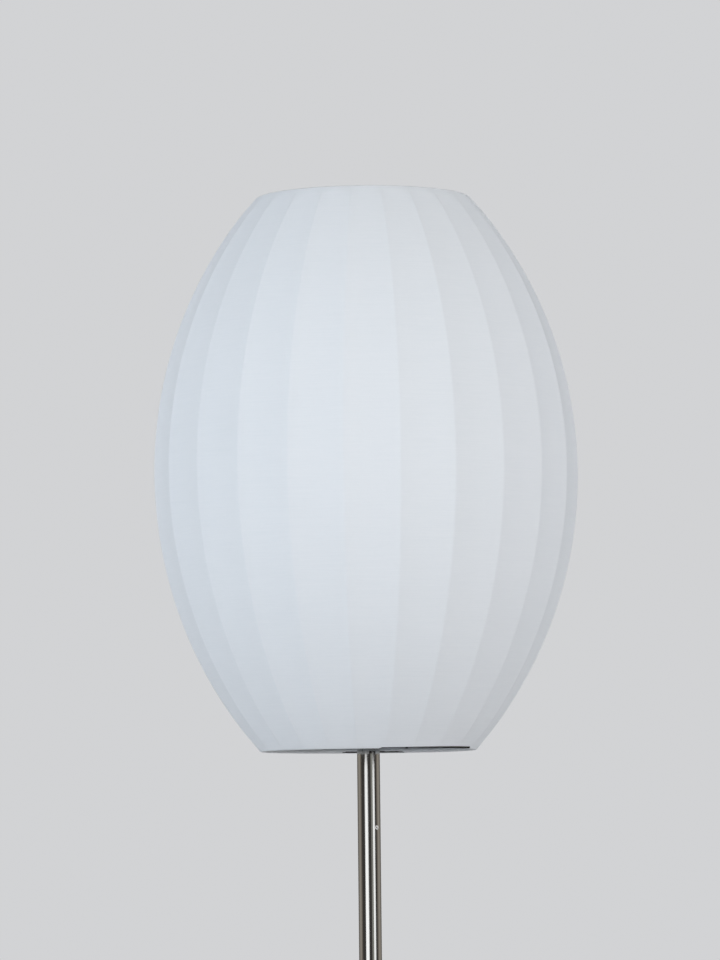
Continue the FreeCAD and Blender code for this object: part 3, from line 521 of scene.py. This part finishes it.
def fabric():
    """One sheet over 24 ribs. Between two ribs it dips a little, because it is
    pulled both up and down and round; at the rims it goes round the rings."""
    half_gore = math.pi / RIBS
    fractions = [0.0, 0.028, 0.06, 0.105, 0.18, 0.30, 0.47, 0.70]
    columns = []
    for g in range(RIBS):
        # fractions of half a gore from the rib on its right-hand side
        for f in fractions:
            columns.append((g, -1.0 + f))
        columns.append((g, 0.0))
        for f in reversed(fractions[1:]):
            columns.append((g, 1.0 - f))
    # rows: length along the sheet from the middle, in mm, upwards
    arc_length = ARC * CONTACT
    body_rows = 30
    near_rows, wrap_rows, hem_rows = 5, 14, 26
    near = 7.0
    verts, index, fronts, angles = [], [], [], []
    rng = np.random.default_rng(11)
    slack = np.clip(1.0 + 0.10 * rng.standard_normal(RIBS), 0.82, 1.2)
    lean = 0.06 * rng.standard_normal(RIBS)
    for g, s in columns:
        centre = math.radians(RIB_TURN) + half_gore * (2 * g + 1)
        a = centre + s * half_gore
        front = math.degrees(a) + 90.0
        low_end = hem_end(front)
        high_end = 5.0 + 0.25 * math.sin(math.radians(front * 4 + 20))
        span = arc_length - near
        start = -arc_length - min(low_end, 0.0)
        lengths = [-arc_length - low_end + max(low_end, 0.0) * k / hem_rows
                   if low_end > 0 else start - 0.001 * (hem_rows - k)
                   for k in range(hem_rows)]
        lengths += [start + (-span - start) * k / near_rows for k in range(near_rows)]
        lengths += [-span + span * k / body_rows for k in range(body_rows * 2 + 1)]
        lengths += [span + near * k / near_rows for k in range(1, near_rows + 1)]
        lengths += [arc_length + high_end * k / wrap_rows
                    for k in range(1, wrap_rows + 1)]
        column, turns = [], []
        for d in lengths:
            if abs(d) <= arc_length:
                turn = d / ARC
                edge = arc_length - abs(d)
                arc = ARC - (ARC - RING_ARC - WRAP) * (1 - smooth(edge, 0.0, 20.0))
                r = -OFFSET + arc * math.cos(turn)
                z = arc * math.sin(turn)
                half = r * math.sin(half_gore)
                sag = 1.38 * half * half / (2 * ARC) * slack[g]
                chord = r - r * math.cos(half_gore) / math.cos(s * half_gore)
                dip = chord + sag * (1 - s * s) * (1 + lean[g] * s * 3)
                soft = 0.12 * (r / SHADE_R)
                dip = math.sqrt(dip * dip + soft * soft) - soft
                r -= dip * smooth(edge, 1.0, 15.0)
                turns.append(0.0)
            else:
                angle = CONTACT + (abs(d) - arc_length) / WRAP
                r = RING_R + WRAP * math.cos(angle)
                z = math.copysign(RING_RISE + WRAP * math.sin(angle), d)
                turns.append(math.degrees(angle) if d < 0 else 0.0)
            column.append(len(verts))
            verts.append((r * math.cos(a), r * math.sin(a), z + MID))
        index.append(column)
        fronts.append(front)
        angles.append(turns)
    faces = []
    n = len(index)
    for i in range(n):
        a, b = index[i], index[(i + 1) % n]
        for k in range(len(a) - 1):
            if slit(fronts[i], angles[i][k]) and slit(fronts[(i + 1) % n],
                                                     angles[(i + 1) % n][k]) \
                    and slit(fronts[i], angles[i][k + 1]):
                continue
            faces.append([a[k], b[k], b[k + 1], a[k + 1]])
    obj = finish_mesh("fabric_shade", verts, faces, MAT["knit_fabric"], "shade",
                      "shade_skin", sharp=None)
    # the outside must face out, so that the thickness goes inwards
    mesh = obj.data
    poly = mesh.polygons[len(mesh.polygons) // 2]
    if poly.normal.dot(Vector((poly.center.x, poly.center.y, 0))) < 0:
        mesh.flip_normals()
    thick = obj.modifiers.new("thickness", "SOLIDIFY")
    thick.thickness = CLOTH * MM
    thick.offset = -1.0
    thick.use_even_offset = True
    thick.use_rim = True
    rows = 400
    for k in range(rows):
        turn = (-CONTACT + 2 * CONTACT * (k + 0.5) / rows)
    return obj


def ring(name, node, z):
    count = 144
    verts, faces = [], []
    tube = 16
    for i in range(count):
        a = 2 * math.pi * i / count
        for k in range(tube):
            b = 2 * math.pi * k / tube
            r = RING_R + WIRE * math.cos(b)
            verts.append((r * math.cos(a), r * math.sin(a), z + WIRE * math.sin(b)))
    for i in range(count):
        for k in range(tube):
            j, m = (i + 1) % count, (k + 1) % tube
            faces.append([i * tube + k, j * tube + k, j * tube + m, i * tube + m])
    return finish_mesh(name, verts, faces, MAT["dark_wire"], "shade", node,
                       None)


def ribs():
    paths = []
    arc = ARC - CLOTH - 1.02
    end = math.radians(40.62)
    for k in range(RIBS):
        a = math.radians(RIB_TURN + 15 * k)
        path = []
        for i in range(49):
            t = -end + 2 * end * i / 48
            r = -OFFSET + arc * math.cos(t)
            path.append((r * math.cos(a), r * math.sin(a), MID + arc * math.sin(t)))
        paths.append(path)
    return tubes("frame_ribs", paths, 1.0, MAT["dark_wire"], "shade", "shade_ribs",
                 12)


ring("ring_bottom", "bottom_ring", MID - RING_RISE)
ring("ring_top", "top_ring", MID + RING_RISE)
ribs()
fabric()


# Spider: washer and three arms that run down to the bottom ring.
WASHER = 1152.6
lathe("washer_spider", rounded([(20.5, 0), (30.0, 0), (30.0, 1.5), (20.5, 1.5)], 0.3),
      WASHER, MAT["dark_wire"], "shade", "spider_washer")
level = WASHER - 1.5 - 0.02
bend_r = 34.0
run = np.array([RING_R - bend_r, MID - RING_RISE - level])
slope = math.atan2(-run[1], run[0])
back = 7.0 * math.tan(slope / 2)
paths = []
for k in range(3):
    a = math.radians(90 + 120 * k)
    flat = [(26.0, 0.0), (bend_r - back, 0.0)]
    for i in range(1, 8):
        t = slope * i / 8
        flat.append((bend_r - back + 7.0 * math.sin(t), -7.0 * (1 - math.cos(t))))
    flat.append((bend_r + back * math.cos(slope), -back * math.sin(slope)))
    reach = (np.linalg.norm(run) - WIRE - 0.06) / np.linalg.norm(run)
    for i in range(1, 6):
        q = i / 5
        x0 = bend_r + back * math.cos(slope)
        z0 = -back * math.sin(slope)
        x1, z1 = bend_r + run[0] * reach, run[1] * reach
        flat.append((x0 + (x1 - x0) * q, z0 + (z1 - z0) * q))
    paths.append([(r * math.cos(a), r * math.sin(a), level + h) for r, h in flat])
tubes("arms_spider", paths, 1.5, MAT["dark_wire"], "shade", "spider_arms",
      16)


# ------------------------------------------------------------- shade rings
def grip(r, z, a):
    """Eighteen finger notches round a shade ring."""
    if r < 23.0:
        return r
    step = 2 * math.pi / 18
    x = ((a - math.pi / 2) / step + 0.5) % 1.0 - 0.5
    reach = abs(x) * step * 26.1
    if reach < 2.0:
        return min(r, 26.1 - math.sqrt(4.0 - reach * reach))
    return r


def shade_ring(name, node, z, height, body):
    outline = rounded([(20.1, 0), (25.0, 0, 0.9), (25.0, height, 0.9),
                       (20.1, height)], 0.3)
    return lathe(name, outline, z, MAT["black_plastic"], body, node,
                 288, 38.0, grip)


shade_ring("seat_ring", "lower_shade_ring", 1148.3, 4.0, "shade_seat")
shade_ring("nut_ring", "upper_ring_nut", 1154.4, 6.0, "ring_nut")


# ------------------------------------------------------------- mast
def tube_piece(name, node, low, high):
    return lathe(name, rounded([(7.0, low), (8.0, low), (8.0, high), (7.0, high)],
                               0.22), 0.0, MAT["nickel"], "stand", node, 128)


tube_piece("tube_lower", "mast_lower", 20.0, 385.0)
tube_piece("tube_middle", "mast_middle", 385.0, 750.0)


def polished(z):
    """Outer radius near the top of the mast, where polishing took a little off."""
    return 8.0 - 0.00028 * max(0.0, z - 1100.0) ** 2


def bore(obj, place, direction, radius, length):
    """Drills a round hole into a piece; sizes in mm."""
    mesh = bpy.data.meshes.new("drill")
    bm = bmesh.new()
    aim = Vector((0, 0, 1)).rotation_difference(Vector(direction)).to_matrix().to_4x4()
    bmesh.ops.create_cone(bm, cap_ends=True, segments=40, radius1=radius * MM,
                          radius2=radius * MM, depth=length * MM,
                          matrix=Matrix.Translation(Vector(place) * MM) @ aim)
    bm.to_mesh(mesh)
    bm.free()
    drill = bpy.data.objects.new("drill", mesh)
    bpy.context.scene.collection.objects.link(drill)
    hole = obj.modifiers.new("hole", "BOOLEAN")
    hole.operation = "DIFFERENCE"
    hole.solver = "EXACT"
    hole.object = drill
    bpy.context.view_layer.objects.active = obj
    bpy.ops.object.modifier_apply(modifier=hole.name)
    bpy.data.objects.remove(drill)
    bpy.data.meshes.remove(mesh)


GRUB = (0.676, -0.737, 0.0)
wall = [(7.0, 750.0), (7.78, 750.0), (8.0, 750.22), (8.0, 1057.0), (8.0, 1065.0)]
wall += [(polished(1100.0 + 1.4 * i), 1100.0 + 1.4 * i) for i in range(11)]
wall += [(7.94, 1115.0), (7.90, 1115.2), (7.0, 1115.2), (7.0, 1065.0), (7.0, 1057.0)]
tube_upper = lathe("tube_upper", wall, 0.0, MAT["nickel"], "stand", "mast_upper",
                   160, 30.0)
bore(tube_upper, (7.5 * GRUB[0], 7.5 * GRUB[1], 1061.0), GRUB, 1.6, 3.0)

lathe("cap_mast", [(5.05, 1050.0), (6.95, 1050.0), (6.95, 1115.2)]
      + rounded([(6.95, 1115.2), (7.88, 1115.2, 0.02), (7.84, 1115.3, 0.1),
                 (6.92, 1116.7, 0.3), (6.86, 1117.2, 0.2), (5.05, 1117.2)], 0.2,
                closed=False)[1:],
      0.0, MAT["nickel"], "stand", "mast_top_cap", 128, 30.0)

# ------------------------------------------------------------- base
lathe("foot_ring", rounded([(8.06, 20.0), (15.0, 20.0, 0.25), (15.0, 32.0, 2.5),
                            (8.06, 32.0, 0.5)], 0.2, 8),
      0.0, MAT["nickel_spun"], "stand", "foot_collar", 128)
for node, mat in (("base_cover", "nickel_spun"), ("mast_grub_screw", "zinc_flake")):
    NODES[node].data.materials.clear()
    NODES[node].data.materials.append(MAT[mat])

# ------------------------------------------------------------- lampholder
cap_outline = [(5.05, 0), (8.6, 0), (9.6, 1.0), (9.6, 3.4)]
for i in range(1, 13):
    t = math.pi / 2 * i / 12
    cap_outline.append((9.6 + 10.2 * math.sin(t), 3.4 + 11.1 * (1 - math.cos(t))))
cap_outline += [(19.8, 27.2), (19.4, 28.2), (17.8, 28.4), (17.8, 15.0)]
for i in range(1, 10):
    t = math.pi / 2 * (1 - i / 10)
    cap_outline.append((9.0 + 8.8 * math.sin(t), 6.4 + 8.6 * (1 - math.cos(t))))
cap_outline += [(9.0, 6.4), (5.05, 6.4)]
lathe("cap_holder", cap_outline, 1117.6, MAT["black_plastic"], "stand", "holder_cap",
      96)

skirt = [(17.2, 0, 0.2), (22.0, 0, 0.5), (22.0, 2.0, 0.5), (18.9, 2.0, 0.2)]
h = 3.0
while h < 34.0:
    skirt += [(18.9, h, 0.25), (19.8, h + 0.5, 0.3), (19.8, h + 1.0, 0.3),
              (18.9, h + 1.5, 0.25)]
    h += 2.5
skirt += [(18.9, 37.0, 0.5), (14.3, 37.0, 0.5), (14.3, 34.0, 0.3), (17.2, 31.0, 0.3)]
lathe("skirt_holder", rounded(skirt, 0.2, 3), 1146.0, MAT["black_plastic"], "stand",
      "holder_skirt", 96)

# ------------------------------------------------------------- bulb
TIP = 1155.0
lathe("tip_contact", rounded([(0, 0, 0), (2.4, 0, 1.0), (4.6, 1.0, 0.6), (4.6, 1.6, 0.2),
                              (0, 1.6, 0)], 0.2), TIP, MAT["brass"], "bulb_tip",
      "bulb_tip", 48)
thread = [(10.6, 0), (11.2, 0)]
for k in range(5):
    z0 = 1.2 + 3.629 * k
    for i in range(9):
        q = i / 8
        thread.append((11.9 + 1.1 * 0.5 * (1 - math.cos(2 * math.pi * q)),
                       z0 + 3.4 * q))
thread += [(12.6, 20.8), (12.6, 22.4), (10.6, 22.4)]


lathe("cap_bulb", thread, TIP + 5.0, MAT["bulb_metal"], "bulb", "bulb_thread_cap",
      72, 45.0)
house = [(0, 0), (13.4, 0), (13.4, 2.2)]
for i in range(1, 9):
    t = math.pi / 2 * i / 8
    house.append((13.4 + 4.4 * math.sin(t), 2.2 + 8.8 * (1 - math.cos(t))))
house += [(17.8, 21.0), (17.5, 21.5), (16.2, 21.5), (16.2, 12.0), (11.6, 3.4),
          (0, 3.4)]
lathe("housing_bulb", house, TIP + 27.5, MAT["white_plastic"], "bulb", "bulb_housing",
      96)
glass = 71.0
opal = [(16.6, 0), (17.6, 0), (17.8, 0.3), (17.8, glass - 12.8)]
for i in range(1, 13):
    t = math.pi / 2 * i / 12
    opal.append((5 + 12.8 * math.cos(t), glass - 12.8 + 12.8 * math.sin(t)))
opal += [(0, glass), (0, glass - 1.2), (5, glass - 1.2)]
for i in range(1, 12):
    t = math.pi / 2 * (1 - i / 12)
    opal.append((5 + 11.6 * math.cos(t), glass - 12.8 + 11.6 * math.sin(t)))
opal += [(16.6, glass - 12.8)]
lathe("diffuser_bulb", opal, TIP + 49.0, MAT["opal"], "bulb", "bulb_diffuser",
      96)

# ------------------------------------------------------------- smooth shading of
# the metal and plastic nodes that stay as they are
for node, obj in NODES.items():
    if obj.type == "MESH" and not obj.hide_render:
        mesh = obj.data
        bm = bmesh.new()
        bm.from_mesh(mesh)
        flags = [e.calc_face_angle(0.0) > math.radians(32) if len(e.link_faces) == 2
                 else True for e in bm.edges]
        bm.free()
        mesh.polygons.foreach_set("use_smooth", [True] * len(mesh.polygons))
        sharp = mesh.attributes.get("sharp_edge") or mesh.attributes.new(
            "sharp_edge", "BOOLEAN", "EDGE")
        sharp.data.foreach_set("value", flags)

# ------------------------------------------------------------- floor
def disc(name, radius, z, mat, count=128):
    verts = [(0, 0, z)]
    for k in range(count):
        a = 2 * math.pi * k / count
        verts.append((radius * math.cos(a), radius * math.sin(a), z))
    faces = [[0, 1 + k, 1 + (k + 1) % count] for k in range(count)]
    mesh = bpy.data.meshes.new(name)
    mesh.from_pydata(verts, [], faces)
    mesh.materials.append(mat)
    obj = bpy.data.objects.new(name, mesh)
    bpy.context.scene.collection.objects.link(obj)
    return obj


floor_mat = make_plain("pale_floor", (0.58, 0.57, 0.555), 0.7, 1.5, 0.02, 0.0, 0.0002,
                       60)
disc("floor", 5.0, -0.0004, floor_mat)

# ------------------------------------------------------------- light
world = bpy.data.worlds.new("studio")
bpy.context.scene.world = world
world.use_nodes = True
wt = world.node_tree
wt.nodes.clear()


def world_node(kind):
    return wt.nodes.new(kind)


out = world_node("ShaderNodeOutputWorld")
path = world_node("ShaderNodeLightPath")
seen = world_node("ShaderNodeBackground")
seen.inputs["Color"].default_value = (0.644, 0.650, 0.663, 1.0)
seen.inputs["Strength"].default_value = 1.0
# soft light of the room: brighter from above the horizon than from below it
room = world_node("ShaderNodeTexCoord")
height = world_node("ShaderNodeSeparateXYZ")
wt.links.new(room.outputs["Generated"], height.inputs[0])
share = world_node("ShaderNodeMapRange")
share.interpolation_type = "SMOOTHSTEP"
for i, v in enumerate((-0.45, 0.45, 0.0, 1.0), start=1):
    share.inputs[i].default_value = v
wt.links.new(height.outputs[2], share.inputs[0])
room_mix = world_node("ShaderNodeMix")
room_mix.data_type = "RGBA"
wt.links.new(share.outputs[0], room_mix.inputs[0])
room_mix.inputs[6].default_value = (0.004, 0.004, 0.004, 1.0)
room_mix.inputs[7].default_value = (0.195, 0.192, 0.203, 1.0)
soft = world_node("ShaderNodeBackground")
wt.links.new(room_mix.outputs[2], soft.inputs["Color"])
soft.inputs["Strength"].default_value = 1.0
gloss = world_node("ShaderNodeBackground")
gloss.inputs["Color"].default_value = (0.052, 0.049, 0.046, 1.0)
gloss.inputs["Strength"].default_value = 1.0
first = world_node("ShaderNodeMixShader")
wt.links.new(path.outputs["Is Glossy Ray"], first.inputs[0])
wt.links.new(soft.outputs[0], first.inputs[1])
wt.links.new(gloss.outputs[0], first.inputs[2])
second = world_node("ShaderNodeMixShader")
wt.links.new(path.outputs["Is Camera Ray"], second.inputs[0])
wt.links.new(first.outputs[0], second.inputs[1])
wt.links.new(seen.outputs[0], second.inputs[2])
wt.links.new(second.outputs[0], out.inputs["Surface"])


def area(name, azimuth, distance, height, width, tall, power, colour=(1, 1, 1),
         glossy=True, diffuse=True, aim=1.2, shape="RECTANGLE"):
    """A soft box. Azimuth 0 is towards the camera, + to the right of the view."""
    light = bpy.data.lights.new(name, "AREA")
    light.shape = shape
    light.size = width
    light.size_y = tall
    light.energy = power
    light.color = colour
    obj = bpy.data.objects.new(name, light)
    a = math.radians(azimuth)
    place = Vector((distance * math.sin(a), -distance * math.cos(a), height))
    toward = Vector((0, 0, aim)) - place
    obj.matrix_world = Matrix.Translation(place) @ toward.to_track_quat("-Z", "Y") \
        .to_matrix().to_4x4()
    obj.visible_camera = False
    obj.visible_glossy = glossy
    obj.visible_diffuse = diffuse
    bpy.context.scene.collection.objects.link(obj)
    return obj


def box_power(radiance, width, tall):
    """Watts of a one-sided area light that shows the given radiance."""
    return radiance * width * tall * math.pi


def strip(name, left, right, distance, tall, radiance, level=1.2, **k):
    """A soft box that spans azimuths left to right as the mast sees it."""
    width = 2 * distance * math.tan(math.radians(right - left) / 2)
    return area(name, (left + right) / 2, distance, level, width, tall,
                box_power(radiance, width, tall), aim=level, **k)


# Soft boxes that shape the cloth: one row at the height of the shade, from the
# back left round the front to the back right, two from above, one from below.
for az, el, tint in (
        (-130, 10, (0.099, 0.095, 0.093)), (-90, 5, (0.097, 0.116, 0.133)),
        (-60, 5, (0.235, 0.243, 0.274)), (-35, 5, (0.038, 0.061, 0.057)),
        (-10, 5, (0.222, 0.231, 0.255)), (40, 5, (0.206, 0.202, 0.208)),
        (65, 5, (0.157, 0.158, 0.157)), (90, 5, (0.056, 0.065, 0.071)),
        (130, 10, (0.118, 0.133, 0.149)), (-20, 40, (0.151, 0.157, 0.153)),
        (60, 40, (0.078, 0.079, 0.075)), (0, -14, (0.018, 0.016, 0.014)),
        (180, 5, (0.170, 0.165, 0.165))):
    e = math.radians(el)
    top = max(tint)
    area("soft_box_%+d_%d" % (az, el), az, 5.0 * math.cos(e),
         1.3 + 5.0 * math.sin(e), 2.2, 2.2, 300.0 * top,
         tuple(v / top for v in tint), glossy=False, aim=1.3)

# Boxes and cards that the metal mirrors and that do not light the cloth: a wide
# one at the front left, a narrow one at the front right with a grey card beside
# it, and warm grey walls behind.
for name, left, right, low, high, tone, shape in (
        ("key_box", -43.5, -8.0, -0.9, 1.245, 0.70, "RECTANGLE"),
        ("key_box_edge", -43.0, -10.0, -0.9, 1.42, 0.50, "ELLIPSE"),
        ("side_box", 38.5, 59.5, -0.9, 1.235, 1.12, "RECTANGLE"),
        ("side_glow", 38.0, 50.0, -0.9, 1.34, 0.12, "ELLIPSE")):
    strip(name, left, right, 5.0, high - low, tone, (low + high) / 2,
          colour=(0.955, 0.98, 1.0), diffuse=False, shape=shape)
strip("grey_card", 20.5, 38.5, 5.2, 4.2, 0.235, colour=(0.97, 1.0, 0.93), diffuse=False)
for side, name in ((-1, "left"), (1, "right")):
    for near, far, tone, tint in ((80.0, 94.0, 0.12, (1.0, 0.86, 0.70)),
                                  (94.0, 125.0, 0.27, (1.0, 0.92, 0.80)),
                                  (125.0, 152.0, 0.13, (1.0, 0.92, 0.82))):
        strip("wall_%s_%d" % (name, near), min(side * near, side * far),
              max(side * near, side * far), 5.0, 4.2, tone, colour=tint, diffuse=False)
strip("wall_back", 165.0, 195.0, 5.0, 4.2, 0.9, diffuse=False)
area("ceiling_card", 0.0, 0.01, 4.2, 4.0, 4.0, box_power(0.55, 4.0, 4.0),
     (1.0, 0.99, 0.97), diffuse=False, aim=0.0)
